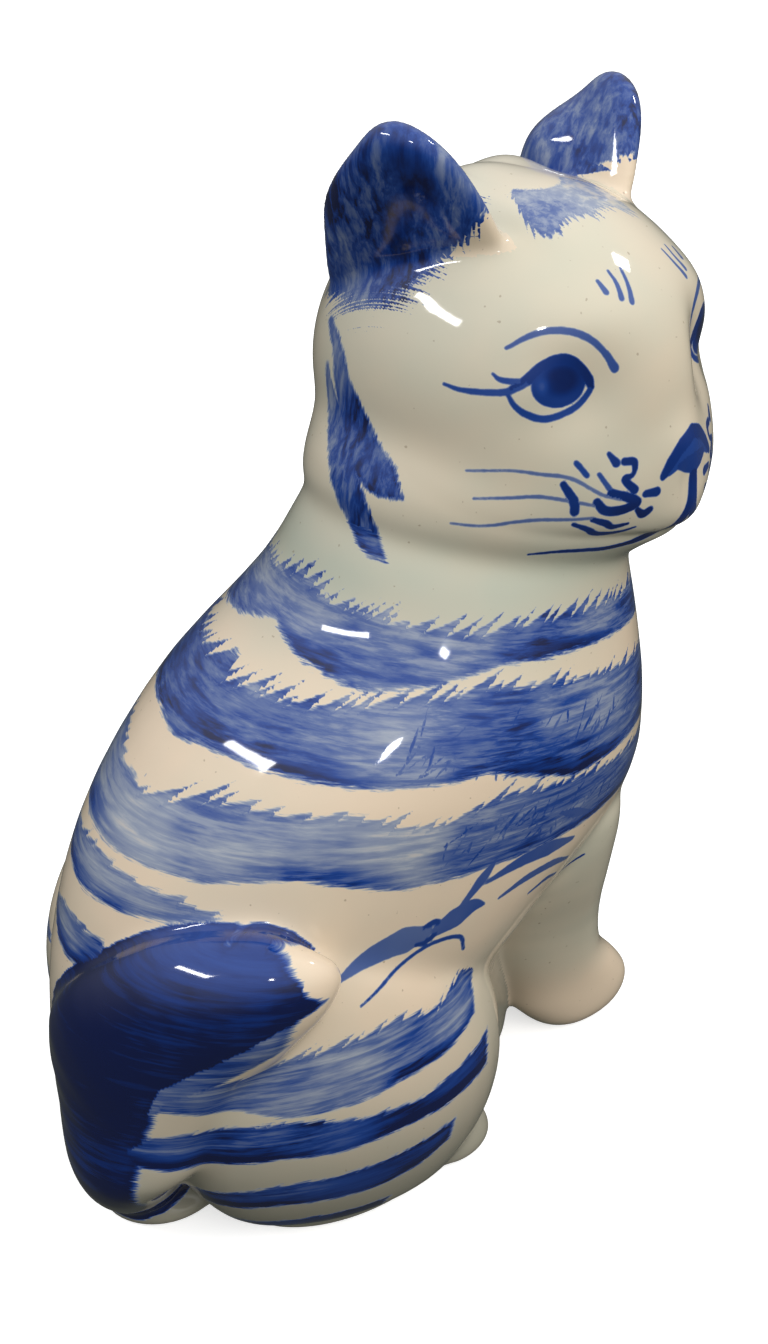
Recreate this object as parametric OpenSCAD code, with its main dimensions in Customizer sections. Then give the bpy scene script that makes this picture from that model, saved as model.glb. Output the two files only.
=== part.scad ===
// Seated cat figurine in slip-cast porcelain, as the cast sections that are luted together before firing.
// The body faces -Y, the cat's right side is -X and the foot is at Z = 0. All lengths are in mm.

/* [View] */
// Which section to draw

/* [Casting] */
// Thickness of the cast wall in mm
wall = 4; // [2.5:0.5:6]
// Thickness of the flat foot plate in mm
plate = 4; // [3:0.5:6]
// Diameter of the vent hole in the foot plate in mm
vent_d = 9; // [4:1:16]

/* [Pose] */
// How far the face is turned to the cat's right in degrees
head_turn = 73; // [0:1:85]

/* [Hidden] */
right = -1;
left = 1;
// Shift that brings the middle of the footprint to the origin
stand_y = 4.5;
torso_points = 56;
torso_steps = 22;
head_steps = 24;

// Torso: height, centre y, half width, reach to the front, reach to the back, rise per mm towards the back
torso_rows = [
  [plate, 15, 22, 57, 43, 0],
  [18, 13, 25, 53, 49, 0],
  [36, 9, 32, 44, 54, 0],
  [56, 1, 39, 46, 59, 0.02],
  [76, -8, 42, 57, 59, 0.06],
  [94, -16, 42, 50, 50, 0.11],
  [111, -25, 36.5, 39, 36, 0.18],
  [126, -33, 30, 28, 34, 0.25]
];
neck_row = torso_rows[len(torso_rows) - 1];

// Head lumps in the face frame (right, forward, up): centre, half sizes
head_centre = [0, -41, 154];
head_lumps = [
  [[0, -1, 1], [36.5, 38, 34]],
  [[0, 2, -11], [34.5, 33, 25]],
  [[0, 16, -14], [21, 23, 17]],
  [[0, 19, -19], [14, 20, 12]]
];

// Ear leaf in the face frame, root to tip: front edge point, back edge point, half thickness
ear_rows = [
  [13, 13, 15, 17, -27, -2, 4.4],
  [17.5, 12, 26.5, 24, -26, 13, 4.2],
  [22.5, 10, 35.5, 29.7, -21.8, 28, 3.8],
  [27.5, 7, 43, 33, -15.8, 38.5, 3.4],
  [31, 3, 47.5, 34.4, -9.5, 45.2, 2.8],
  [33, -2, 50, 34, -6, 49, 1.4]
];

// How much lower the left ear is set than the right one
left_ear_drop = 2.5;

// Tail, root to tip: centre, half height, half thickness
tail_rows = [
  [4, 40, 2, 11, 10],
  [-5, 50, 17, 18, 13],
  [-13, 54, 36, 22, 14],
  [-24, 48, 54, 18, 12.5],
  [-34, 39, 63, 13, 10.5],
  [-40, 32, 66.5, 8, 6.5],
  [-42, 26, 68, 2, 2]
];
tail_hollow = 0.78;

// Haunch lumps, x outwards from the middle of the body: centre, half sizes
haunch_centre = [24, 18, 33];
haunch_lumps = [
  [[-1, 0, 2], [22, 36, 42]],
  [[0, -8, -8], [21, 30, 30]]
];

// Foreleg, x outwards: height, centre x, centre y, half width, reach to the front, reach to the back
leg_rows = [
  [0, 8.6, -55, 5.5, 11, 7],
  [3, 8.8, -55, 7.6, 15, 11],
  [8, 8.8, -54, 8.3, 17, 14],
  [14, 9, -53, 8.5, 14, 15],
  [22, 9.6, -50, 9.2, 10.5, 16],
  [36, 11.5, -46, 11, 11, 20],
  [52, 15, -41, 14, 14, 24],
  [68, 18, -37, 16, 17, 26],
  [80, 18, -36, 15, 17, 24]
];

// Hind paw, x outwards: centre, half sizes
hind_paw_centre = [27.5, -5];
hind_paw_size = [9, 13.5, 12];

// Patches that make up the foot outline: centre, half sizes
foot_patches = [
  [[-23.5, 14], [14, 24]],
  [[23.5, 14], [14, 24]],
  [[-7, 47], [12, 13]]
];
vent_at = [0, 14];

function flat(list) = [for (a = list) each a];

// Value of a smooth curve between b and c at t from 0 to 1
function between(a, b, c, d, t) =
  0.5 * ((2 * b) + (c - a) * t + (2 * a - 5 * b + 4 * c - d) * t * t + (3 * b - a - 3 * c + d) * t * t * t);

// Row of a table at u from 0 to 1, on a smooth curve through its rows
function along(rows, u) =
  let (n = len(rows) - 1, s = max(min(u * n, n - 0.0001), 0), i = floor(s),
       before = i > 0 ? rows[i - 1] : 2 * rows[0] - rows[1],
       after = i + 2 > n ? 2 * rows[n] - rows[n - 1] : rows[i + 2])
  between(before, rows[i], rows[i + 1], after, s - i);

// Distance from the origin to the far side of an ellipsoid in direction d
function lump_hit(lump, d) =
  let (o = [for (k = [0 : 2]) -lump[0][k] / lump[1][k]],
       v = [for (k = [0 : 2]) d[k] / lump[1][k]],
       a = v * v, b = o * v, c = o * o - 1, q = b * b - a * c)
  q < 0 ? 0 : (-b + sqrt(q)) / a;

function soft_max(a, b, k) = let (h = max(k - abs(a - b), 0) / k) max(a, b) + h * h * k / 4;

// Reach of softly joined lumps in direction d
function reach(lumps, d, i = 0) =
  i == len(lumps) - 1 ? lump_hit(lumps[i], d) : soft_max(lump_hit(lumps[i], d), reach(lumps, d, i + 1), 6);

function direction(a, e) = [cos(a) * cos(e), sin(a) * cos(e), sin(e)];

// World direction to face frame, and a face frame point to world
function to_face(d) =
  let (c = cos(head_turn), s = sin(head_turn))
  [-d[0] * c + d[1] * s, -d[0] * s - d[1] * c, d[2]];
function from_face(p) =
  let (c = cos(head_turn), s = sin(head_turn))
  [-p[0] * c - p[1] * s, p[0] * s - p[1] * c, p[2]];

function torso_ring(row, inset) = [
  for (k = [0 : torso_points - 1])
    let (t = 360 * k / torso_points, y = ((sin(t) > 0 ? row[4] : row[3]) - inset) * sin(t))
    [(row[2] - inset) * cos(t), row[1] + y, row[0] + row[5] * y]
];
function torso_rings(inset) = [for (i = [0 : torso_steps]) torso_ring(along(torso_rows, i / torso_steps), inset)];

// The lowest head ring is the neck seam, and the rings above it swell out to the skull
function head_ring(i, inset) =
  let (seam = torso_ring(neck_row, inset), u = i / head_steps, w = min(u * 5, 1), m = w * w * (3 - 2 * w))
  [for (p = seam)
    let (v = p - head_centre, a = atan2(v[1], v[0]), low = atan2(v[2], norm([v[0], v[1]])),
         d = direction(a, low + (88 - low) * u))
    head_centre + d * (norm(v) * (1 - m) + (reach(head_lumps, to_face(d)) - inset) * m)];
function head_rings(inset) = [for (i = [0 : head_steps]) head_ring(i, inset)];

function ear_rings(side) = [
  for (i = [0 : 14])
    let (r = along(ear_rows, i / 14), front = [r[0], r[1], r[2]], back = [r[3], r[4], r[5]],
         half = (front - back) / 2, side_way = cross(half, [0, 0, 1]), n = side_way / norm(side_way))
    [for (k = [0 : 23])
      let (t = side * 15 * k, p = (front + back) / 2 + half * cos(t) + n * r[6] * sin(t))
      head_centre + from_face([-side * p[0], p[1], p[2]]) - [0, 0, side == left ? left_ear_drop : 0]]
];

function tail_rings(inset, last) = [
  for (i = [0 : 30])
    let (u = last * i / 30, r = along(tail_rows, u),
       step = along(tail_rows, u + 0.01) - along(tail_rows, u - 0.01),
         run = [step[0], step[1], step[2]], across = cross(run, [0, 0, 1]), s = across / norm(across),
       v = cross(s, run / norm(run)))
    [for (k = [0 : 23])
      [r[0], r[1], r[2]] + v * (r[3] - inset) * cos(15 * k) + s * (r[4] - inset) * sin(15 * k)]
];

function haunch_rings(side, inset) = [
  for (i = [0 : 20])
    [for (k = [0 : 35])
      let (d = direction(side * 10 * k, -87 + 8.7 * i), p = haunch_centre + d * (reach(haunch_lumps, d) - inset))
      [side * p[0], p[1], p[2]]]
];

function foreleg_rings(side) = [
  for (i = [0 : 18])
    let (r = along(leg_rows, i / 18))
    [for (k = [0 : 27])
      let (t = 360 * k / 28, y = (sin(t) > 0 ? r[5] : r[4]) * sin(t))
      [side * r[1] + r[3] * cos(t), r[2] + y, r[0]]]
];

function hind_paw_rings(side) = [
  for (i = [0 : 10])
    [for (k = [0 : 23])
      let (d = direction(15 * k, 8.6 * i))
      [side * hind_paw_centre[0] + hind_paw_size[0] * d[0],
       hind_paw_centre[1] + hind_paw_size[1] * d[1], hind_paw_size[2] * d[2]]]
];

// Closed skin over equal rings, with flat ends
module skin(rings) {
  m = len(rings[0]);
  n = len(rings);
  sides = [
    for (i = [0 : n - 2], k = [0 : m - 1], half = [0, 1])
      let (a = i * m + k, b = i * m + (k + 1) % m)
      half == 0 ? [a, b + m, b] : [a, a + m, b + m]
  ];
  bottom = [for (k = [0 : m - 1]) k];
  top = [for (k = [m - 1 : -1 : 0]) (n - 1) * m + k];
  polyhedron(flat(rings), concat(sides, [bottom, top]));
}

// Open shell over equal rings: outer skin up, inner skin down, joined at both rims
module open_shell(outer, inner) {
  m = len(outer[0]);
  rings = concat(outer, [for (i = [len(inner) - 1 : -1 : 0]) inner[i]]);
  n = len(rings);
  polyhedron(flat(rings), [
    for (i = [0 : n - 1], k = [0 : m - 1], half = [0, 1])
      let (a = i * m + k, b = i * m + (k + 1) % m, up = (i + 1) % n * m)
      half == 0 ? [a, up + (k + 1) % m, b] : [a, up + k, up + (k + 1) % m]
  ]);
}

module placed() {
  translate([0, stand_y, 0]) children();
}

module below(z) {
  translate([-100, -100, z - 60]) cube([200, 200, 60]);
}

module ellipse(patch) {
  polygon([for (t = [0 : 7.5 : 359]) [patch[0][0] + patch[1][0] * cos(t), patch[0][1] + patch[1][1] * sin(t)]]);
}

module foot_blank() {
  linear_extrude(plate)
    union() {
      polygon([for (p = torso_ring(torso_rows[0], 0)) [p[0], p[1]]]);
      for (patch = foot_patches) ellipse(patch);
    }
}

module base_plate() {
  color("antiquewhite")
    difference() {
      foot_blank();
      translate([vent_at[0], vent_at[1], -1]) cylinder(d = vent_d, h = plate + 2);
    }
}

module torso_shell() {
  color("ivory") open_shell(torso_rings(0), torso_rings(wall));
}

module head_shell() {
  inner = head_rings(wall);
  color("ivory") skin(concat([for (i = [head_steps : -1 : 0]) inner[i]], head_rings(0)));
}

module ear(side) {
  color("royalblue")
    difference() {
      skin(ear_rings(side));
      skin(head_rings(0));
    }
}

module tail() {
  color("navy")
    difference() {
      skin(tail_rings(0, 1));
      skin(tail_rings(wall, tail_hollow));
      skin(torso_rings(0));
      skin(haunch_rings(right, 0));
      skin(haunch_rings(left, 0));
      below(plate);
    }
}

module haunch(side) {
  color("aliceblue")
    difference() {
      skin(haunch_rings(side, 0));
      skin(haunch_rings(side, wall));
      skin(torso_rings(0));
      below(plate);
    }
}

module foreleg(side) {
  color("whitesmoke")
    difference() {
      skin(foreleg_rings(side));
      skin(torso_rings(0));
      foot_blank();
    }
}

module hind_paw(side) {
  color("whitesmoke")
    difference() {
      skin(hind_paw_rings(side));
      skin(haunch_rings(side, 0));
      skin(torso_rings(0));
      foot_blank();
    }
}

placed() torso_shell();
placed() head_shell();
placed() ear(right);  // ear_right
placed() ear(left);  // ear_left
placed() tail();
placed() haunch(right);  // haunch_right
placed() haunch(left);  // haunch_left
placed() foreleg(right);  // foreleg_right
placed() foreleg(left);  // foreleg_left
placed() hind_paw(right);  // hind_paw_right
placed() hind_paw(left);  // hind_paw_left
placed() base_plate();
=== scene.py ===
"""Looks of the seated porcelain cat: one glazed skin over the cast sections, painted in cobalt blue."""
import math

import bpy
import numpy as np
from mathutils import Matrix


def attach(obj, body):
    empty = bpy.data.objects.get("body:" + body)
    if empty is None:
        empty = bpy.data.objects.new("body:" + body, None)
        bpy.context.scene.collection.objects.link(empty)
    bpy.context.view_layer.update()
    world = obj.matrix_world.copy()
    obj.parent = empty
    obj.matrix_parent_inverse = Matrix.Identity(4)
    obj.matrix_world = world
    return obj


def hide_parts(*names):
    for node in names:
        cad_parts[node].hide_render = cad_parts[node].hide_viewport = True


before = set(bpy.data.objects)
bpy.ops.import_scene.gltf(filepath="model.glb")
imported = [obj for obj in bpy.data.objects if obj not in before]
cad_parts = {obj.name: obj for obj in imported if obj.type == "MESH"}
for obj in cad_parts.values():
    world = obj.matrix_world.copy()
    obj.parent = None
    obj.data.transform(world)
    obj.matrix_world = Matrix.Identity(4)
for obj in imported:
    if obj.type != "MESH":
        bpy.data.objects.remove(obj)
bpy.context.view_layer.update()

import openvdb
from mathutils import Vector
from mathutils.bvhtree import BVHTree

MM = 0.001
scene = bpy.context.scene


# ---------------------------------------------------------------- camera
AIM = Vector((30, -27, 77)) * MM
CAMERA_AZIMUTH = math.radians(236)
CAMERA_HEIGHT = math.radians(29)
CAMERA_DISTANCE = 410 * MM

back = Vector((
    math.sin(CAMERA_AZIMUTH) * math.cos(CAMERA_HEIGHT),
    -math.cos(CAMERA_AZIMUTH) * math.cos(CAMERA_HEIGHT),
    math.sin(CAMERA_HEIGHT),
))
camera_data = bpy.data.cameras.new("camera")
camera_data.lens = 50.9
camera_data.sensor_width = 36
camera_data.clip_start = 0.01
camera = bpy.data.objects.new("camera", camera_data)
camera.location = AIM + back * CAMERA_DISTANCE
camera.rotation_euler = back.to_track_quat("Z", "Y").to_euler()
scene.collection.objects.link(camera)
scene.camera = camera


# ---------------------------------------------------------------- frames of reference, all in mm
HEAD = np.array([0, -36.5, 154.0])
FACE_TURN = math.radians(76)
# Station along the leaning body: height, centre y, rise per mm towards the back
SPINE = np.array([
    [4, 19.5, 0], [18, 17.5, 0], [36, 13.5, 0], [56, 5.5, 0.02],
    [76, -3.5, 0.06], [94, -11.5, 0.11], [111, -20.5, 0.18], [126, -28.5, 0.25],
])
VENT = np.array([0, 18.5])
VENT_RADIUS = 4.5
PLATE = 4.0
VOXEL = 0.56
BAND = 3.5


def face_axes():
    """Right, forward and up of the turned head."""
    c, s = math.cos(FACE_TURN), math.sin(FACE_TURN)
    return np.array([[-c, s, 0], [-s, -c, 0], [0, 0, 1.0]])


def head_angles(p):
    """Yaw towards the cat's own right and pitch, in degrees, and the places in face axes in mm."""
    f = (p - HEAD) @ face_axes().T
    yaw = np.degrees(np.arctan2(f[:, 0], f[:, 1]))
    pitch = np.degrees(np.arctan2(f[:, 2], np.hypot(f[:, 0], f[:, 1])))
    return yaw, pitch, f


def body_angles(p):
    """Degrees round the spine, 0 at the chest and positive on the cat's right, and the station in mm."""
    s = p[:, 2].copy()
    for _ in range(12):
        lean = np.interp(s, SPINE[:, 0], SPINE[:, 2]) * (p[:, 1] - np.interp(s, SPINE[:, 0], SPINE[:, 1]))
        s = 0.5 * s + 0.5 * (p[:, 2] - lean)
    y = np.interp(s, SPINE[:, 0], SPINE[:, 1])
    return np.degrees(np.arctan2(-p[:, 0], y - p[:, 1])), s


def step(x, low, high):
    t = np.clip((x - low) / (high - low), 0, 1)
    return t * t * (3 - 2 * t)


def bump(*squares):
    """Gaussian of offsets that are already divided by their widths."""
    return np.exp(-sum(v * v for v in squares))


# ---------------------------------------------------------------- the one glazed skin
def cad_triangles():
    """Corners of every CAD triangle in mm, and the node that each belongs to."""
    corners, owners = [], []
    for name, node in sorted(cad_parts.items()):
        mesh = node.data
        mesh.calc_loop_triangles()
        co = np.zeros(len(mesh.vertices) * 3)
        mesh.vertices.foreach_get("co", co)
        index = np.zeros(len(mesh.loop_triangles) * 3, int)
        mesh.loop_triangles.foreach_get("vertices", index)
        corners.append(co.reshape(-1, 3)[index].reshape(-1, 3, 3) / MM)
        owners += [name] * len(mesh.loop_triangles)
    return np.concatenate(corners), np.array(owners)


def tree_of(triangles):
    points = [Vector(p) for p in triangles.reshape(-1, 3)]
    return BVHTree.FromPolygons(points, [(i, i + 1, i + 2) for i in range(0, len(points), 3)])


def outer_faces(triangles, tree):
    """True for the triangles that can be seen from outside, level with them or from above."""
    ways = [Vector((math.cos(a), math.sin(a), e)).normalized() for e in (0, 0.8)
            for a in np.radians(np.arange(0, 360, 30))] + [Vector((0, 0, 1))]
    normal = np.cross(triangles[:, 1] - triangles[:, 0], triangles[:, 2] - triangles[:, 0])
    size = np.linalg.norm(normal, axis=1, keepdims=True)
    normal = normal / np.maximum(size, 1e-9)
    middle = triangles.mean(axis=1)
    seen = np.zeros(len(triangles), bool)
    for i, tri in enumerate(triangles):
        spots = [middle[i]] + [0.9 * corner + 0.1 * middle[i] for corner in tri]
        for spot in spots:
            start = Vector(spot + 0.03 * normal[i])
            n = Vector(normal[i])
            if any(tree.ray_cast(start, way)[0] is None for way in ways if way.dot(n) > -0.01):
                seen[i] = True
                break
    return seen


def distance_grid(triangles, low, shape):
    """Dense distances in mm from the triangles and a plug over the vent, negative inside."""
    r = VENT_RADIUS + 1
    plug = [[VENT[0] + a * r, VENT[1] + b * r, 0] for a, b in ((-1, -1), (1, -1), (1, 1), (-1, 1))]
    points = (np.concatenate([triangles.reshape(-1, 3), plug]) - low) / VOXEL
    n = len(triangles) * 3
    faces = np.concatenate([np.arange(n).reshape(-1, 3), [[n, n + 1, n + 2], [n, n + 2, n + 3]]])
    grid = openvdb.FloatGrid.createLevelSetFromPolygons(
        points.astype(np.float32), triangles=faces.astype(np.uint32),
        transform=openvdb.createLinearTransform(1.0), halfWidth=BAND / VOXEL)
    dense = np.zeros(shape, np.float32)
    grid.copyToArray(dense, ijk=(0, 0, 0))
    return dense * VOXEL


def solid_field(triangles, outside):
    """Distance to the outside skin on a regular grid, negative inside, and the grid's first corner."""
    low = triangles.reshape(-1, 3).min(axis=0) - 6
    high = triangles.reshape(-1, 3).max(axis=0) + 6
    shape = np.ceil((high - low) / VOXEL).astype(int)
    inside = distance_grid(triangles, low, shape) < 0
    gap = np.abs(distance_grid(triangles[outside], low, shape))
    return np.where(inside, -gap, gap), low


def blurred(field, sigma):
    """Separable Gaussian blur, sigma in mm."""
    reach = int(math.ceil(2.6 * sigma / VOXEL))
    taps = np.exp(-0.5 * (np.arange(-reach, reach + 1) * VOXEL / sigma) ** 2)
    taps /= taps.sum()
    for axis in range(3):
        padded = np.pad(field, [(reach, reach) if k == axis else (0, 0) for k in range(3)], mode="edge")
        total = np.zeros_like(field)
        for i, tap in enumerate(taps):
            cut = [slice(None)] * 3
            cut[axis] = slice(i, i + field.shape[axis])
            total += np.float32(tap) * padded[tuple(cut)]
        field = total
    return field


def sampled(field, low, p):
    """Trilinear value of the field at points."""
    g = np.clip((p - low) / VOXEL, 0, np.array(field.shape) - 1.001)
    i = g.astype(int)
    f = g - i
    value = np.zeros(len(p))
    for corner in range(8):
        o = np.array([corner & 1, corner >> 1 & 1, corner >> 2 & 1])
        w = np.prod(np.where(o, f, 1 - f), axis=1)
        value += w * field[i[:, 0] + o[0], i[:, 1] + o[1], i[:, 2] + o[2]]
    return value


def gradient(field, low, p):
    steps = VOXEL * np.eye(3)
    g = np.stack([sampled(field, low, p + h) - sampled(field, low, p - h) for h in steps], axis=1)
    return g / np.maximum(np.linalg.norm(g, axis=1, keepdims=True), 1e-9)


def relaxed(points, quads, field, low, rounds):
    """Evens out the mesh and pulls it back onto the zero surface."""
    edges = np.concatenate([quads[:, [k, (k + 1) % 4]] for k in range(4)])
    n = len(points)
    starts = np.concatenate([edges[:, 0], edges[:, 1]])
    ends = np.concatenate([edges[:, 1], edges[:, 0]])
    count = np.maximum(np.bincount(starts, minlength=n), 1)[:, None]
    for _ in range(rounds):
        mean = np.stack([np.bincount(starts, points[ends, k], n) for k in range(3)], axis=1) / count
        points = points + 0.6 * (mean - points)
        for _ in range(2):
            points = points - sampled(field, low, points)[:, None] * gradient(field, low, points)
    return points


def vertex_normals(points, quads):
    a = points[quads[:, 2]] - points[quads[:, 0]]
    b = points[quads[:, 3]] - points[quads[:, 1]]
    face = np.cross(a, b)
    total = np.stack([sum(np.bincount(quads[:, k], face[:, axis], len(points)) for k in range(4))
                      for axis in range(3)], axis=1)
    return total / np.maximum(np.linalg.norm(total, axis=1, keepdims=True), 1e-12)


# ---------------------------------------------------------------- modelling on the skin
def ear_frame(side):
    """Corners of an ear's leaf in face axes, in mm: root front, root back, tip."""
    return [np.array([side * x, y, z], float) for x, y, z in ((15, 13, 20), (25, -26, 5), (33.5, -4, 49))]


def ear_place(p, side):
    """Across the ear from back to front edge (-1 to 1), up it (0 to 1), and side-on outwards in mm."""
    f = (p - HEAD) @ face_axes().T
    front, rear, tip = ear_frame(side)
    up = tip - (front + rear) / 2
    wide = (front - rear) / 2
    out = np.cross(up, wide) * side
    out /= np.linalg.norm(out)
    frame_matrix = np.stack([wide, up, out], axis=1)
    q = (f - (front + rear) / 2) @ np.linalg.inv(frame_matrix).T
    return q[:, 0], q[:, 1], q[:, 2]


def modelled(points, normals):
    """Moves the skin along its normals where the modeller pressed it in or built it up, in mm."""
    yaw, pitch, f = head_angles(points)
    radius = np.linalg.norm(f, axis=1)
    on_head = step(radius, 60, 52) * step(points[:, 2], 112, 122)
    lift = np.zeros(len(points))
    for side in (1, -1):
        lift += 0.7 * bump((yaw - side * 30) / 20, (pitch - 30) / 9)
        lift += 0.8 * bump((yaw - side * 26) / 14, (pitch + 20) / 10)
        lift += 0.5 * bump((yaw - side * 46) / 10, (pitch - 12) / 7)
    lift -= 2.6 * bump((yaw - 33) / 17, (pitch - 9) / 13)
    lift -= 3.3 * bump((yaw + 20) / 9.5, (pitch - 11) / 14)
    lift -= 3.0 * bump((yaw + 38) / 14, (pitch - 6) / 10)
    lift += 1.2 * bump(yaw / 9, (pitch + 9) / 8)
    lift -= 0.6 * bump(yaw / 2.5, (pitch + 20) / 7)
    lift -= 0.7 * bump((pitch + 33 - 0.003 * yaw ** 2) / 2.2, yaw / 42)
    lift *= on_head
    for side in (1, -1):
        across, up, out = ear_place(points, side)
        leaf = (f[:, 0] * side > 5) * step(np.abs(out), 11, 8) * step(np.abs(across), 1.8, 1.4)
        lift += 1.05 * leaf * step(up, 0.1, 1.0)
        crest = np.array([[side * 4, -12, 33], [side * 21, -17, 36]], float)
        t = np.clip((f - crest[0]) @ (crest[1] - crest[0]) / 314, 0, 1)
        gap = np.linalg.norm(f - crest[0] - t[:, None] * (crest[1] - crest[0]), axis=1)
        lift += (1.0 + 6.5 * t) * bump(gap / 8) * step(normals[:, 2], -0.1, 0.5)
    return points + normals * lift[:, None]


# ---------------------------------------------------------------- painting
def on_head_surface(tree, yaw, pitch):
    a, e = math.radians(yaw), math.radians(pitch)
    way = np.array([math.sin(a) * math.cos(e), math.cos(a) * math.cos(e), math.sin(e)]) @ face_axes()
    hit = tree.ray_cast(Vector(HEAD), Vector(way))[0]
    return np.array(hit)


def on_body_surface(tree, angle, station):
    y = np.interp(station, SPINE[:, 0], SPINE[:, 1])
    lean = np.interp(station, SPINE[:, 0], SPINE[:, 2])
    a = math.radians(angle)
    way = Vector((-math.sin(a), -math.cos(a), -math.cos(a) * lean)).normalized()
    hit = tree.ray_cast(Vector((0, y, station)), way)[0]
    return np.array(hit)


def smooth_path(places, count=8):
    """Catmull-Rom curve through the places."""
    places = np.array(places, float)
    if len(places) == 2:
        return np.linspace(places[0], places[1], count)
    ends = np.concatenate([[2 * places[0] - places[1]], places, [2 * places[-1] - places[-2]]])
    out = []
    for i in range(len(places) - 1):
        a, b, c, d = ends[i:i + 4]
        for t in np.arange(count) / count:
            out.append(0.5 * (2 * b + (c - a) * t + (2 * a - 5 * b + 4 * c - d) * t * t
                              + (3 * b - a - 3 * c + d) * t ** 3))
    return np.array(out + [places[-1]])


class Paint:
    """Brush marks on a set of points: how deep inside a mark each one is, in mm, and its colour load."""

    def __init__(self, points):
        self.points = points
        self.depth = np.full(len(points), -6.0)
        self.load = np.zeros(len(points))

    def lay(self, chosen, depth, load):
        """Puts a mark over what is there wherever it lies deeper."""
        better = depth > self.depth[chosen]
        rows = np.flatnonzero(chosen)[better]
        self.depth[rows] = depth[better]
        self.load[rows] = (np.broadcast_to(load, depth.shape))[better]

    def stroke(self, path, widths, load, room=4.0):
        """A brush line along 3-D places, with half widths in mm from start to end."""
        low, high = path.min(axis=0) - room, path.max(axis=0) + room
        chosen = np.all((self.points > low) & (self.points < high), axis=1)
        p = self.points[chosen]
        if not len(p):
            return
        share = np.linspace(0, 1, len(path))
        half = np.interp(share, np.linspace(0, 1, len(widths)), widths)
        best = np.full(len(p), -6.0)
        for i in range(len(path) - 1):
            a, b = path[i], path[i + 1]
            t = np.clip((p - a) @ (b - a) / max((b - a) @ (b - a), 1e-9), 0, 1)
            gap = np.linalg.norm(p - a - t[:, None] * (b - a), axis=1)
            best = np.maximum(best, half[i] * (1 - t) + half[i + 1] * t - gap)
        self.lay(chosen, best, load)


# Brush lines of the face, for one side: places (yaw, pitch), half widths in mm, colour
EYE = [
    ([(54, 12), (49, 15), (44, 18.5), (38, 20), (33.5, 17.5), (30.5, 14.5), (29.5, 12)],
     [0.5, 1.0, 1.25, 1.25, 0.9, 0.6], 0.9),
    ([(54, 11), (52, 8), (48.5, 5.5), (43.5, 4), (38, 5), (33.5, 7), (30.5, 10), (29.5, 12)],
     [0.35, 0.6, 0.6, 0.55, 0.5], 0.75),
    ([(72, 12.5), (66.5, 11.5), (58.5, 11.5), (54, 12), (49, 14.5)], [0.25, 0.5, 0.6, 0.7], 0.7),
    ([(58.5, 16.5), (56, 15), (50, 14.5)], [0.2, 0.45, 0.6], 0.7),
    ([(55, 23.5), (49, 26.5), (43, 28), (36, 27.5), (30, 25), (25.5, 21), (22.5, 16.5)],
     [0.3, 0.5, 0.6, 0.6, 0.55, 0.8], 0.6),
]
FOREHEAD = [
    ([(23, 40.5), (21.5, 37)], [0.35, 0.6], 0.6),
    ([(17, 43), (16, 39), (16.5, 34.5)], [0.25, 0.4, 0.55], 0.6),
    ([(11, 43), (11.5, 38), (13, 33)], [0.25, 0.4, 0.55], 0.6),
]
WHISKERS = [
    ([(64.5, -10.5), (52.5, -10), (44.5, -11), (36, -12.5), (27.5, -17), (21.5, -19)],
     [0.2, 0.35, 0.3], 0.42),
    ([(62, -17), (52.5, -17), (44.5, -17), (36, -18.5), (29, -20)], [0.2, 0.35, 0.3], 0.42),
    ([(67.5, -22.5), (58.5, -23.5), (49.5, -23), (44, -23), (36, -23.5), (29, -23.5)],
     [0.2, 0.35, 0.3], 0.42),
]
MUZZLE = [
    ([(34.5, -8.5), (31.5, -12)], [0.5, 0.5], 0.7),
    ([(28, -12), (25, -16)], [0.4, 0.5], 0.65),
    ([(25, -7), (23, -9.5)], [0.4, 0.8], 0.85),
    ([(20.5, -9.5), (17.5, -10), (18, -13), (20.5, -14), (17.5, -17)], [0.7, 0.7, 0.4, 0.7, 0.8], 0.9),
    ([(14, -18.5), (10.5, -18.5)], [0.7, 0.9], 0.85),
    ([(16, -22.5), (14, -24), (12, -23)], [0.5, 0.9, 0.7], 0.9),
    ([(38, -14), (35, -18.5), (34.5, -21.5)], [0.6, 0.9, 0.8], 0.85),
    ([(28.5, -19), (26, -21.5), (21.5, -22), (16.5, -20.5), (20, -18.5), (24.5, -17)],
     [0.7, 1.0, 0.9, 0.8], 0.9),
    ([(29, -24), (25, -25.5), (22.5, -27), (18, -26.5)], [0.5, 0.7, 0.6, 0.3], 0.9),
    ([(34.5, -25), (30, -27), (27, -29), (21, -29.5), (15, -28)], [0.35, 0.7, 0.6, 0.2], 0.85),
]
MOUTH = [
    ([(0, -12), (0.5, -19), (1, -25), (4, -29.5), (10, -33), (16, -35), (25, -35.5), (33, -34.5),
      (41, -33.5), (50, -33)], [1.0, 0.8, 1.3, 1.1, 0.6, 0.5, 0.4, 0.2], 0.9),
]
NOSE = [
    ([(12, -15), (9, -12), (5, -8.5), (0, -6.5)], [0.7, 1.5, 1.7, 1.7], 0.85),
    ([(10, -14.5), (6, -11.5), (0, -9.5)], [0.5, 1.4, 2.0], 0.7),
    ([(7, -12.5), (3, -13), (0, -13.5)], [1.0, 2.0, 2.4], 0.8),
]
# Marks, how far they sit nearer the nose on the far side, and how far their middle is off the midline
FACE = [(EYE, 7, 0), (FOREHEAD, -9, 0), (WHISKERS, 0, 0), (MUZZLE, 0, 0), (MOUTH, 0, -3.4), (NOSE, 0, -3.4)]
IRIS = {1: 39.5, -1: 32.5}
IRIS_PITCH = 13.4
LID_PITCH = 19.5
IRIS_RADIUS = 6.5


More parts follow.
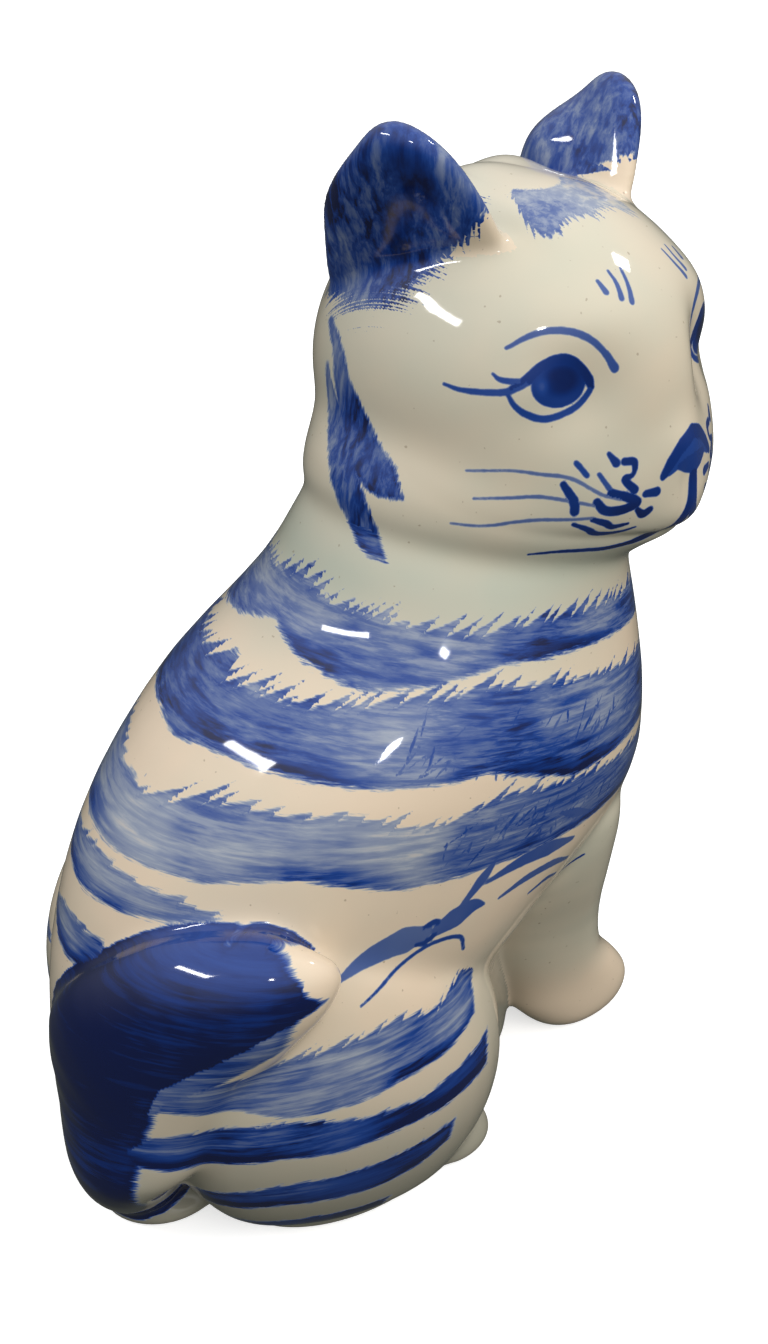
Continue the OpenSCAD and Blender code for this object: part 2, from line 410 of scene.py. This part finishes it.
def paint_face(paint, tree):
    yaw, pitch, f = head_angles(paint.points)
    for side in (1, -1):
        for marks, nearer, middle in FACE:
            shift = nearer if side == -1 else 0
            for places, widths, load in marks:
                path = smooth_path(places)
                path = [on_head_surface(tree, side * (a - shift) + middle, b) for a, b in path]
                paint.stroke(np.array(path), widths, load)
        near = (np.abs(yaw - side * IRIS[side]) < 16) & (np.abs(pitch - 12) < 14) & (f[:, 1] > 0)
        a = (side * yaw[near] - IRIS[side]) / 1.25
        b = pitch[near] - IRIS_PITCH
        iris = np.minimum(IRIS_RADIUS - np.hypot(a, b), LID_PITCH - pitch[near]) * 0.65
        pupil = 0.16 * step(np.hypot(a + 0.6, b - 1.2), 6.0, 2.5)
        glint = 0.22 * bump((a - 3.8) / 1.3, b / 2)
        paint.lay(near, iris, 0.84 + pupil - glint)


# Stripes of the body: corners (angle, station) of the upper and lower edge, spike height, colour load
STRIPES = [
    ([(0, 122), (60, 121), (90, 119.5), (108, 118), (122, 116), (143, 116), (163, 115.5), (180, 117)],
     [(0, 114), (60, 114), (85, 113), (108, 111.5), (127, 107.5), (142, 105.5), (153, 106), (165, 107),
      (180, 109.5)], 4.5, 0.46),
    ([(0, 107), (50, 108), (80, 109), (112, 109), (122, 107), (137, 105.5), (150, 103), (168, 102.5),
      (180, 101.5)],
     [(0, 93), (50, 92), (75, 91), (93, 94), (105, 95.5), (118, 94), (135, 93.5), (157, 94), (170, 94),
      (180, 93)], 3.5, 0.53),
    ([(0, 89), (60, 90), (97, 92), (113, 88.5), (121, 88.5), (135, 90.5), (147, 89.5), (160, 89.5),
      (170, 87), (180, 86)],
     [(0, 79), (60, 78), (100, 77), (117, 76.5), (128, 78), (140, 79.5), (157, 77.5), (180, 77)],
     3.5, 0.33),
    ([(152, 73), (160, 74.5), (170, 75), (180, 76)], [(152, 72), (160, 70.5), (170, 69.5), (180, 69)],
     1.5, 0.45),
    ([(166, 62), (174, 64), (180, 64)], [(166, 61), (174, 58), (180, 57)], 1.0, 0.5),
]
HAUNCH_STRIPES = [
    ([(74, 52), (82, 53), (92, 50), (106, 52.5), (120, 51.5), (130, 51), (142, 49.5), (152, 45)],
     [(74, 43), (84, 40.5), (98, 40), (110, 38.5), (125, 38.5), (135, 41), (146, 42.5), (152, 43)],
     2.0, 0.4),
    ([(66, 37), (80, 35.5), (92, 34), (108, 35), (124, 38), (138, 37.5), (149, 37), (157, 33)],
     [(66, 30), (82, 29), (98, 29), (110, 28), (125, 29), (140, 28), (149, 29), (157, 31)], 0.8, 0.74),
    ([(78, 24), (92, 23), (106, 22), (124, 22), (142, 18), (152, 14)],
     [(78, 19), (88, 16), (100, 14.5), (124, 15), (142, 13), (152, 12)],
     0.6, 0.78),
    ([(92, 9), (115, 9), (138, 8)], [(92, 2), (115, -2), (138, 1)], 0.6, 0.85),
]


def spikes(turn, seed):
    """Uneven brush tips from 0 to 1 along a turn in degrees."""
    rng = np.random.default_rng(seed)
    spots = np.cumsum(rng.uniform(2.0, 6.5, 130)) - 4
    height = rng.uniform(0.25, 1.0, 130)
    i = np.clip(np.searchsorted(spots, turn + 180) - 1, 0, 128)
    t = (turn + 180 - spots[i]) / (spots[i + 1] - spots[i])
    return height[i] * np.clip(1 - t, 0, 1) ** 1.3


def paint_stripes(paint, stripes, chosen, seed):
    angle, station = body_angles(paint.points[chosen])
    turn = np.abs(angle)
    for k, (upper, lower, spike, load) in enumerate(stripes):
        upper, lower = np.array(upper, float), np.array(lower, float)
        skew = angle + 1.2 * (station - upper[:, 1].mean())
        top = np.interp(turn, upper[:, 0], upper[:, 1]) + spike * (spikes(skew, seed + k) - 0.3)
        bottom = np.interp(turn, lower[:, 0], lower[:, 1])
        depth = np.minimum(top - station, station - bottom)
        first = max(upper[0, 0], lower[0, 0])
        last = min(upper[-1, 0], lower[-1, 0])
        if first > 1:
            depth = np.minimum(depth, 0.5 * (turn - first))
        if last < 179:
            depth = np.minimum(depth, 0.5 * (last - turn))
        low_edge = step(station - bottom, 4.0, 0.3) * (0.55 + 0.45 * np.sin(np.radians(5 * angle + 70 * k)))
        paint.lay(chosen, depth, load + 0.42 * low_edge + 0.12 * step(turn, 125, 95))


# Lower edge of the blue on an ear, as a share of its height, and how fast it climbs towards the front
EAR_EDGE = 0.24
EAR_EDGE_CLIMB = 0.26


def paint_ears(paint):
    yaw, pitch, f = head_angles(paint.points)
    for side, start in ((1, 0.0), (-1, 0.12)):
        across, up, out = ear_place(paint.points, side)
        near = (f[:, 0] * side > 4) & (np.abs(out) < 13) & (np.abs(across) < 1.7) & (up > -0.5)
        edge = start + EAR_EDGE + 0.04 * across[near] + EAR_EDGE_CLIMB * np.maximum(across[near], 0) ** 2
        ragged = 0.13 * spikes(60 * across[near] + 9 * out[near], 40 + side)
        depth = (up[near] - edge - 0.05 + ragged) * 38
        depth = np.minimum(depth, (1.55 - np.abs(across[near])) * 20)
        # Painted shade: darker blue in the ear's pocket, a teardrop with a band below it, where the fold
        # lies in shadow.
        pocket_shade = bump((across[near] - 0.3 + 0.5 * (up[near] - 0.78)) / 0.16, (up[near] - 0.75) / 0.18)
        pocket_shade += 0.6 * bump((across[near] - 0.02) / 0.18, (up[near] - 0.48) / 0.22)
        rim = step(up[near], 0.75, 1.0)
        if side == 1:
            load = 0.66 + 0.34 * pocket_shade + 0.08 * rim
        else:
            load = 0.55 + 0.2 * pocket_shade + 0.4 * step(across[near], 0.35, 0.9) + 0.2 * rim
        paint.lay(near, np.clip(depth, -6, 6), load)


# Pitch of the lower edge of the blue patch on the crown
CROWN_EDGE = 61


def paint_crown(paint):
    """Pale blue between the ears, hanging in two tongues over the forehead."""
    yaw, pitch, f = head_angles(paint.points)
    near = (pitch > 40) & (np.linalg.norm(f, axis=1) < 47)
    y, p = yaw[near], pitch[near]
    tongues = 7 * bump((np.abs(y - 3) - 35) / 9)
    ends = 13 * step(y, 44, 66) + 4 * step(y, -45, -62)
    lower = CROWN_EDGE - tongues + ends
    lower = lower - 6 * (spikes(1.1 * y, 31) - 0.5)
    depth = np.minimum(p - lower, 79 - p) * 0.63
    depth = np.minimum(depth, np.minimum(66 - y, y + 62) * 0.25)
    paint.lay(near, depth, 0.2 + 0.26 * step(y, -20, 45))


# Long brush marks from the ear down the back of the cheek
CHEEK = [
    ([(122, 18), (113, 12), (106, 0), (97, -9), (88, -14), (80, -18)], [1.0, 2.0, 3.5, 4.0, 3.5, 0.2], 0.72),
    ([(118, 6), (113, -4), (103, -12), (95, -20), (89, -27), (83, -30)],
     [1.0, 2.5, 3.5, 3.5, 2.5, 0.3], 0.66),
]


def paint_cheeks(paint, tree):
    for side in (1, -1):
        for places, widths, load in CHEEK:
            path = [on_head_surface(tree, side * yaw, pitch) for yaw, pitch in smooth_path(places)]
            paint.stroke(np.array(path), widths, load, 6.0)


def paint_body_lines(paint, tree):
    """The knot at the elbow, the line over the thigh and the brush lines on the foreleg, on both sides."""
    marks = [
        ([(124, 62), (117, 64.5), (110, 66), (105, 66.5)], [0.5, 2.0, 3.0, 1.6], 0.5),
        ([(106, 64.5), (103, 64.5), (101, 66.5), (103, 68.5), (106, 67.5)], [0.7, 0.6, 0.6, 0.7], 0.85),
        ([(101, 66.5), (97, 68), (93, 69.5), (89, 69)], [1.4, 2.4, 1.6, 0.4], 0.62),
        ([(97, 70), (94, 75), (92, 79)], [0.5, 1.2, 0.3], 0.6),
        ([(117, 57), (109, 60.5), (101, 63.5), (92, 63), (87, 59)], [0.2, 0.4, 0.5, 0.35], 0.75),
        ([(60, 51), (55, 55), (49, 59), (43, 64)], [0.3, 0.5, 0.45, 0.3], 0.75),
        ([(92, 74), (82, 76), (72, 76), (62, 75)], [0.4, 1.4, 1.8, 0.5], 0.6),
        ([(84, 69), (76, 71), (66, 71), (57, 69)], [0.3, 0.9, 1.0, 0.4], 0.55),
        ([(76, 84), (68, 82), (60, 80)], [0.3, 1.2, 0.5], 0.6),
        ([(70, 66), (64, 67), (58, 66)], [0.3, 0.6, 0.3], 0.6),
    ] + chest_hatching()
    for side in (1, -1):
        for places, widths, load in marks:
            path = [on_body_surface(tree, side * angle, station) for angle, station in smooth_path(places)]
            paint.stroke(np.array(path), widths, load)


# Station of the top of the tail's solid blue
TAIL_TOP = 74


def gap_to(tree, points, reach):
    """Distance in mm to the nearest surface, or the reach where none is that near."""
    found = [tree.find_nearest(Vector(p), reach)[3] for p in points]
    return np.array([reach if gap is None else gap for gap in found])


def paint_tail(paint, tail_tree):
    """Solid blue over the tail's root and tip, with a ragged top edge, and a paler wash under it."""
    near = paint.points[:, 2] < 92
    p = paint.points[near]
    gap = gap_to(tail_tree, p, 8)
    angle, station = body_angles(p)
    round_back = np.where(angle < 0, angle + 360, angle)
    line = np.interp(round_back, [120, 125, 134, 142, 151], [68, 66, 60, 54, 47])
    crown = TAIL_TOP - 10 * step(round_back, 142, 124) - 30 * step(round_back, 158, 200)
    crown -= 1.5 * bump((round_back - 147) / 2) + 3 * bump((round_back - 161) / 3)
    crown += 1.2 * (spikes(0.55 * (round_back - 180), 55) - 0.4)
    side_edge = (round_back - np.interp(p[:, 2], [0, 8, 15, 40], [140, 146, 152, 150])) * 0.6
    over = 2.5 * np.logaddexp(side_edge / 2.5, (station - line) / 2.5)
    depth = np.minimum(np.minimum(3 - 2 * gap, crown - station), over)
    load = 0.86 + 0.18 * step(station, 74, 62)
    paint.lay(near, np.clip(depth, -6, 6), load)
    wash = np.minimum(line - station + 1, station - line + 6)
    wash = np.minimum(wash, np.minimum(round_back - 131, 152 - round_back) * 0.5)
    paint.lay(near, np.clip(wash, -6, 6), 0.5)


def chest_hatching():
    """Short crossing brush lines laid over the two broad stripes on the chest and shoulders."""
    rng = np.random.default_rng(21)
    marks = []
    for low, high, last in ((94, 101, 128), (78, 85, 112)):
        for _ in range(90):
            angle, station = rng.uniform(5, last), rng.uniform(low, high)
            end = (angle - rng.uniform(-4, 10), station + rng.uniform(2.5, 6))
            widths = [0.12, rng.uniform(0.2, 0.42), 0.1]
            marks.append(([(angle, station), end], widths, rng.uniform(0.55, 0.75)))
    return marks


def brush_grain(points, upright):
    """Places for the bristle pattern in mm: slow along the brush, quick across it."""
    if upright:
        return head_angles(points)[2] * [0.6, 0.6, 0.11]
    angle, station = body_angles(points)
    a = np.radians(angle)
    return np.stack([4.2 * np.sin(a), 4.2 * np.cos(a), station + 0.02 * np.abs(angle)], axis=1)


# ---------------------------------------------------------------- materials
def node(tree, kind, **values):
    n = tree.nodes.new(kind)
    for key, value in values.items():
        if key in n.inputs:
            n.inputs[key].default_value = value
        else:
            setattr(n, key, value)
    return n


def math_node(tree, operation, a, b=None, clamp=False):
    n = tree.nodes.new("ShaderNodeMath")
    n.operation = operation
    n.use_clamp = clamp
    for socket, value in zip(n.inputs, (a, b)):
        if value is None:
            continue
        if isinstance(value, (int, float)):
            socket.default_value = value
        else:
            tree.links.new(value, socket)
    return n.outputs[0]


def span(tree, value, low, high, out_low=0.0, out_high=1.0):
    n = tree.nodes.new("ShaderNodeMapRange")
    n.interpolation_type = "SMOOTHSTEP"
    tree.links.new(value, n.inputs["Value"])
    for key, number in (("From Min", low), ("From Max", high), ("To Min", out_low), ("To Max", out_high)):
        n.inputs[key].default_value = number
    return n.outputs[0]


def noise(tree, vector, scale, detail=3.0, rough=0.5, distortion=0.0):
    n = node(tree, "ShaderNodeTexNoise", Scale=scale, Detail=detail, Roughness=rough, Distortion=distortion)
    tree.links.new(vector, n.inputs["Vector"])
    return n.outputs["Fac"]


def mixed(tree, factor, a, b):
    n = tree.nodes.new("ShaderNodeMix")
    n.data_type = "RGBA"
    for socket, value in ((n.inputs[0], factor), (n.inputs[6], a), (n.inputs[7], b)):
        if isinstance(value, tuple):
            socket.default_value = (*value, 1)
        elif isinstance(value, float):
            socket.default_value = value
        else:
            tree.links.new(value, socket)
    return n.outputs[2]


def attribute(tree, name, output="Fac"):
    n = tree.nodes.new("ShaderNodeAttribute")
    n.attribute_name = name
    return n.outputs[output]


WARM_GLAZE = (0.80, 0.65, 0.49)
# Cooler, darker glaze where it runs thick, which also serves as painted shade.
COOL_GLAZE_AND_SHADE = (0.56, 0.585, 0.48)
INK_STOPS = [
    (0.0, (0.58, 0.60, 0.60)), (0.2, (0.29, 0.335, 0.445)), (0.42, (0.102, 0.156, 0.35)),
    (0.68, (0.013, 0.058, 0.29)), (0.85, (0.004, 0.030, 0.19)), (1.0, (0.004, 0.010, 0.065)),
]


def new_material(name):
    material = bpy.data.materials.new(name)
    material.use_nodes = True
    tree = material.node_tree
    tree.nodes.clear()
    shader = tree.nodes.new("ShaderNodeBsdfPrincipled")
    out = tree.nodes.new("ShaderNodeOutputMaterial")
    tree.links.new(shader.outputs[0], out.inputs[0])
    return material, tree, shader


def glazed(name):
    """Clear glaze over a warm body, with cobalt brushwork whose depth and colour sit on the mesh."""
    material, tree, shader = new_material(name)
    place = node(tree, "ShaderNodeNewGeometry").outputs["Position"]
    grain = attribute(tree, "grain", "Vector")
    streak = span(tree, noise(tree, grain, 0.9, 5.0, 0.62, 0.3), 0.3, 0.7)
    fine = noise(tree, grain, 3.2, 3.0, 0.6)
    cloud = noise(tree, place, 45, 3.0, 0.5)

    depth = attribute(tree, "wash")
    frayed = math_node(tree, "MULTIPLY", math_node(tree, "SUBTRACT", fine, 0.5), 2.2)
    depth = math_node(tree, "ADD", depth, frayed)
    cover = span(tree, depth, -0.4, 0.8)
    rim = span(tree, depth, 1.6, 0.2)
    load = attribute(tree, "wash_load")
    uneven = math_node(tree, "MULTIPLY", span(tree, cloud, 0.32, 0.68, 0.58, 1.36),
                       math_node(tree, "ADD", 0.52, math_node(tree, "MULTIPLY", streak, 0.86)))
    calm = math_node(tree, "MULTIPLY", span(tree, load, 0.68, 0.88, 0, 0.72),
                     math_node(tree, "SUBTRACT", 1.02, uneven))
    load = math_node(tree, "MULTIPLY", load, math_node(tree, "ADD", uneven, calm))
    load = math_node(tree, "ADD", load, math_node(tree, "MULTIPLY", rim, 0.10))
    wash = math_node(tree, "MULTIPLY", load, cover, clamp=True)

    shake = math_node(tree, "SUBTRACT", noise(tree, place, 900), 0.5)
    line = math_node(tree, "ADD", attribute(tree, "line"), math_node(tree, "MULTIPLY", shake, 0.25))
    flow = span(tree, cloud, 0.2, 0.8, 0.85, 1.12)
    line = math_node(tree, "MULTIPLY", span(tree, line, -0.22, 0.2),
                     math_node(tree, "MULTIPLY", attribute(tree, "line_load"), flow))
    ink = math_node(tree, "MAXIMUM", wash, line, clamp=True)

    colours = tree.nodes.new("ShaderNodeValToRGB")
    stops = colours.color_ramp.elements
    for i, (place_on_ramp, colour) in enumerate(INK_STOPS):
        stop = stops[i] if i < 2 else stops.new(place_on_ramp)
        stop.position = place_on_ramp
        stop.color = (*colour, 1)
    tree.links.new(ink, colours.inputs[0])

    patch = span(tree, noise(tree, place, 28), 0.3, 0.7, -0.2, 0.2)
    # Mixes towards the cool tone for glaze pooling and for painted shade, with random patches.
    pool_and_shade_tint = math_node(tree, "ADD", attribute(tree, "pool_and_painted_shade"), patch, clamp=True)
    body = mixed(tree, pool_and_shade_tint, WARM_GLAZE, COOL_GLAZE_AND_SHADE)
    # Painted shade: the glaze is darkened towards grey-brown wherever the painted shade value is high.
    body = mixed(tree, attribute(tree, "painted_shade"), body, (0.30, 0.295, 0.24))
    speck = span(tree, noise(tree, place, 1100, 0.0), 0.83, 0.87)
    body = mixed(tree, math_node(tree, "MULTIPLY", speck, 0.45), body, (0.25, 0.17, 0.10))
    painted = span(tree, ink, 0.0, 0.16)
    tree.links.new(mixed(tree, painted, body, colours.outputs[0]), shader.inputs["Base Color"])

    shader.inputs["Roughness"].default_value = 0.07
    shader.inputs["IOR"].default_value = 1.52
    shader.inputs["Coat Weight"].default_value = 0.35
    shader.inputs["Coat Roughness"].default_value = 0.03
    bump_node = node(tree, "ShaderNodeBump", Strength=0.16, Distance=0.0004)
    tree.links.new(noise(tree, place, 95, 2.0), bump_node.inputs["Height"])
    tree.links.new(bump_node.outputs[0], shader.inputs["Normal"])
    return material


def bare_clay():
    """Unglazed foot: matt, finely sanded and a little stained."""
    material, tree, shader = new_material("bare_foot")
    place = node(tree, "ShaderNodeNewGeometry").outputs["Position"]
    stain = span(tree, noise(tree, place, 60, 4.0), 0.35, 0.75)
    grit = span(tree, noise(tree, place, 1500, 1.0), 0.62, 0.72)
    body = mixed(tree, stain, (0.74, 0.66, 0.55), (0.60, 0.50, 0.38))
    body = mixed(tree, math_node(tree, "MULTIPLY", grit, 0.5), body, (0.34, 0.27, 0.2))
    tree.links.new(body, shader.inputs["Base Color"])
    shader.inputs["Roughness"].default_value = 0.85
    bump_node = node(tree, "ShaderNodeBump", Strength=0.5, Distance=0.0003)
    tree.links.new(noise(tree, place, 900, 3.0), bump_node.inputs["Height"])
    tree.links.new(bump_node.outputs[0], shader.inputs["Normal"])
    return material


# ---------------------------------------------------------------- pieces
def refined(points, quads, normals):
    """Splits each quad in four, with straight edges, so neighbours that aren't split still fit."""
    edges = np.sort(np.concatenate([quads[:, [k, (k + 1) % 4]] for k in range(4)]), axis=1)
    pairs, back_to = np.unique(edges, axis=0, return_inverse=True)
    back_to = back_to.reshape(4, -1)
    n, m = len(points), len(points) + len(pairs)
    middle = np.arange(len(quads)) + m
    all_points = np.concatenate([points, points[pairs].mean(axis=1), points[quads].mean(axis=1)])
    all_normals = np.concatenate([normals, normals[pairs].mean(axis=1), normals[quads].mean(axis=1)])
    all_normals /= np.linalg.norm(all_normals, axis=1, keepdims=True)
    new = [np.stack([quads[:, k], back_to[k] + n, middle, back_to[k - 1] + n], axis=1) for k in range(4)]
    return all_points, np.concatenate(new), all_normals


def add_piece(name, points, quads, normals, material, values=None):
    mesh = bpy.data.meshes.new(name)
    mesh.vertices.add(len(points))
    mesh.vertices.foreach_set("co", (points * MM).astype(np.float32).ravel())
    mesh.loops.add(quads.size)
    mesh.loops.foreach_set("vertex_index", quads.astype(np.int32).ravel())
    mesh.polygons.add(len(quads))
    mesh.polygons.foreach_set("loop_start", np.arange(0, quads.size, 4, dtype=np.int32))
    mesh.update(calc_edges=True)
    mesh.validate()
    mesh.shade_smooth()
    if normals is not None:
        mesh.normals_split_custom_set_from_vertices([tuple(n) for n in normals])
    for key, value in (values or {}).items():
        kind, field_name = ("FLOAT_VECTOR", "vector") if value.ndim == 2 else ("FLOAT", "value")
        layer = mesh.attributes.new(key, kind, "POINT")
        layer.data.foreach_set(field_name, value.astype(np.float32).ravel())
    mesh.materials.append(material)
    piece = bpy.data.objects.new(name, mesh)
    scene.collection.objects.link(piece)
    return piece


def used_only(points, quads, *extras):
    used, small = np.unique(quads, return_inverse=True)
    return points[used], small.reshape(quads.shape), *[e[used] for e in extras]


BODY_PIECES = ("torso_shell", "foreleg_right", "foreleg_left")
HAUNCHES = ("haunch_right", "haunch_left")
EARS = ("ear_right", "ear_left")


def painted(name, p, skin_tree, tail_tree):
    """Brushwork, glaze and painted-shade values for the points of one piece."""
    wash = Paint(p)
    line = Paint(p)
    if name in ("head_shell", "torso_shell", *EARS):
        paint_ears(wash)
        paint_crown(wash)
        paint_cheeks(wash, skin_tree)
        paint_face(line, skin_tree)
    if name in BODY_PIECES:
        paint_stripes(wash, STRIPES, p[:, 2] < 133, 3)
    if name in (*BODY_PIECES, *HAUNCHES, "tail"):
        paint_body_lines(line, skin_tree)
    if name in (*HAUNCHES, "tail"):
        paint_stripes(wash, HAUNCH_STRIPES, p[:, 2] < 90, 13)
    if name in ("tail", "torso_shell", "haunch_right"):
        paint_tail(wash, tail_tree)
    height = p[:, 2]
    leg = "foreleg" in name
    # Cooler, darker glaze low on the body, partly glaze pooling and partly painted shade; on the forelegs it
    # darkens towards the top as painted shade, leaving the paws warm as if lit.
    pool_and_painted_shade = 0.1 + (0.45 * step(height, 12, 30) if leg else 0.3 * step(height, 70, 10))
    if name in ("head_shell", "torso_shell"):
        # Painted shade on the neck under the cheek.
        pool_and_painted_shade += 0.42 * step(height, 118, 128) + 0.5 * bump((height - 122) / 9)
    # Painted shade: a darker grey on the neck under the cheek, and darker low down on the body except on the
    # forelegs.
    painted_shade = 0.22 * bump((height - 120) / 8)
    if not leg:
        painted_shade += 0.85 * step(height, 58, 4)
    return {
        "wash": wash.depth, "wash_load": wash.load, "line": line.depth, "line_load": line.load,
        "grain": brush_grain(p, name in ("head_shell", *EARS)), "pool_and_painted_shade": pool_and_painted_shade, "painted_shade": painted_shade,
    }


def foot_face(p, q, material):
    """The flat foot with its round vent hole, and the hole's wall up through the plate."""
    r = np.linalg.norm(p[:, :2] - VENT, axis=1)
    q = q[np.all(r[q] > VENT_RADIUS - 0.25 * VOXEL, axis=1)]
    rim = (r < VENT_RADIUS + 0.6 * VOXEL) & (r > VENT_RADIUS - 0.3 * VOXEL)
    p[rim, :2] = VENT + (p[rim, :2] - VENT) * (VENT_RADIUS / r[rim])[:, None]
    p, q = used_only(p, q)
    turn = np.radians(np.arange(0, 360, 5))
    circle = VENT + VENT_RADIUS * np.stack([np.cos(turn), np.sin(turn)], axis=1)
    count = len(turn)
    wall = [np.column_stack([circle, np.full(count, z)]) for z in (0.0, PLATE)]
    low_ring = len(p) + np.arange(count)
    after = np.roll(low_ring, -1)
    q = np.concatenate([q, np.stack([low_ring, low_ring + count, after + count, after], axis=1)])
    return add_piece("foot_face", np.concatenate([p, *wall]), q, None, material)


triangles, tri_owner = cad_triangles()
outside = outer_faces(triangles, tree_of(triangles))
field, low = solid_field(triangles, outside)
field = blurred(field, 1.5)

level = openvdb.FloatGrid(BAND)
level.copyFromArray(np.ascontiguousarray(field), ijk=(0, 0, 0), tolerance=0.0)
points, quads = level.convertToQuads(0.0)
points = points.astype(float) * VOXEL + low
quads = quads.astype(int)
points = relaxed(points, quads, field, low, 4)
if np.einsum("ij,ij->i", vertex_normals(points, quads), gradient(field, low, points)).mean() < 0:
    quads = quads[:, ::-1]
points = modelled(points, vertex_normals(points, quads))
points[:, 2] = np.where(points[:, 2] < 0.3, 0.0, points[:, 2])
normals = vertex_normals(points, quads)

outer_tree = tree_of(triangles[outside])
nearest = [outer_tree.find_nearest(Vector(p))[2] for p in points[quads].mean(axis=1)]
owner = tri_owner[outside][nearest]
sole = np.all(points[quads][:, :, 2] < 0.05, axis=1)
owner = np.where(sole, "base_plate", np.where(owner == "base_plate", "torso_shell", owner))

skin_tree = BVHTree.FromPolygons([Vector(p) for p in points], quads.tolist())
tail_tree = tree_of(triangles[tri_owner == "tail"])
materials = {name: glazed(name) for name in ("white_glaze", "blue_glaze")}
materials["bare_foot"] = bare_clay()

for name in sorted(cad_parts):
    p, q, n = used_only(points, quads[owner == name], normals)
    if name == "base_plate":
        slot = "bare_foot"
        piece = foot_face(p, q, materials[slot])
    else:
        if name == "head_shell":
            p, q, n = refined(p, q, n)
        slot = "blue_glaze" if name in (*EARS, "tail") else "white_glaze"
        piece = add_piece(name + "_glazed", p, q, n, materials[slot], painted(name, p, skin_tree, tail_tree))
    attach(piece, "root")
    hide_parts(name)


# ---------------------------------------------------------------- floor and light
def area_light(name, location, size, power, colour=(1, 1, 1), mirrored=True):
    data = bpy.data.lights.new(name, "AREA")
    data.shape = "RECTANGLE"
    data.size, data.size_y = size
    data.energy = power
    data.color = colour
    light = bpy.data.objects.new(name, data)
    light.location = location
    light.visible_glossy = mirrored
    light.rotation_euler = (Vector(location) - Vector((0, 0, 0.09))).to_track_quat("Z", "Y").to_euler()
    scene.collection.objects.link(light)


def build_floor():
    """Plain pale floor that glows a little, so it stays white without lighting the figure from below."""
    mesh = bpy.data.meshes.new("floor")
    r = 6.0
    mesh.from_pydata([(-r, -r, 0), (r, -r, 0), (r, r, 0), (-r, r, 0)], [], [(0, 1, 2, 3)])
    material, tree, shader = new_material("floor")
    shader.inputs["Base Color"].default_value = (0.9, 0.9, 0.9, 1)
    shader.inputs["Roughness"].default_value = 0.9
    shader.inputs["Specular IOR Level"].default_value = 0.0
    shader.inputs["Emission Color"].default_value = (1, 1, 1, 1)
    shader.inputs["Emission Strength"].default_value = 0.62
    mesh.materials.append(material)
    floor = bpy.data.objects.new("floor", mesh)
    floor.visible_diffuse = False
    floor.visible_glossy = False
    scene.collection.objects.link(floor)


def build_world():
    """Soft room light: bright ceiling, dimmer walls and a dark floor."""
    world = bpy.data.worlds.new("studio")
    world.use_nodes = True
    tree = world.node_tree
    way = tree.nodes.new("ShaderNodeTexCoord").outputs["Generated"]
    apart = tree.nodes.new("ShaderNodeSeparateXYZ")
    tree.links.new(way, apart.inputs[0])
    height = span(tree, apart.outputs["Z"], -0.25, 0.9)
    colour = mixed(tree, height, (0.065, 0.07, 0.06), (0.84, 0.85, 0.86))
    tree.links.new(colour, tree.nodes["Background"].inputs["Color"])
    scene.world = world


build_floor()
build_world()
scene.view_settings.view_transform = "Standard"
area_light("lamp_behind", (0.10, 0.72, 0.80), (0.5, 0.07), 2.4)
area_light("lamp_side", (-0.75, 0.35, 0.72), (0.07, 0.05), 0.4)
area_light("lamp_front", (-0.15, -0.75, 0.88), (0.1, 0.12), 1.0)
area_light("soft_key", (-1.05, -0.2, 0.75), (0.9, 0.9), 6.6, (1, 0.96, 0.9), False)
area_light("soft_front", (-0.6, -0.9, 0.6), (0.6, 0.6), 1.8, (1, 0.96, 0.9), False)
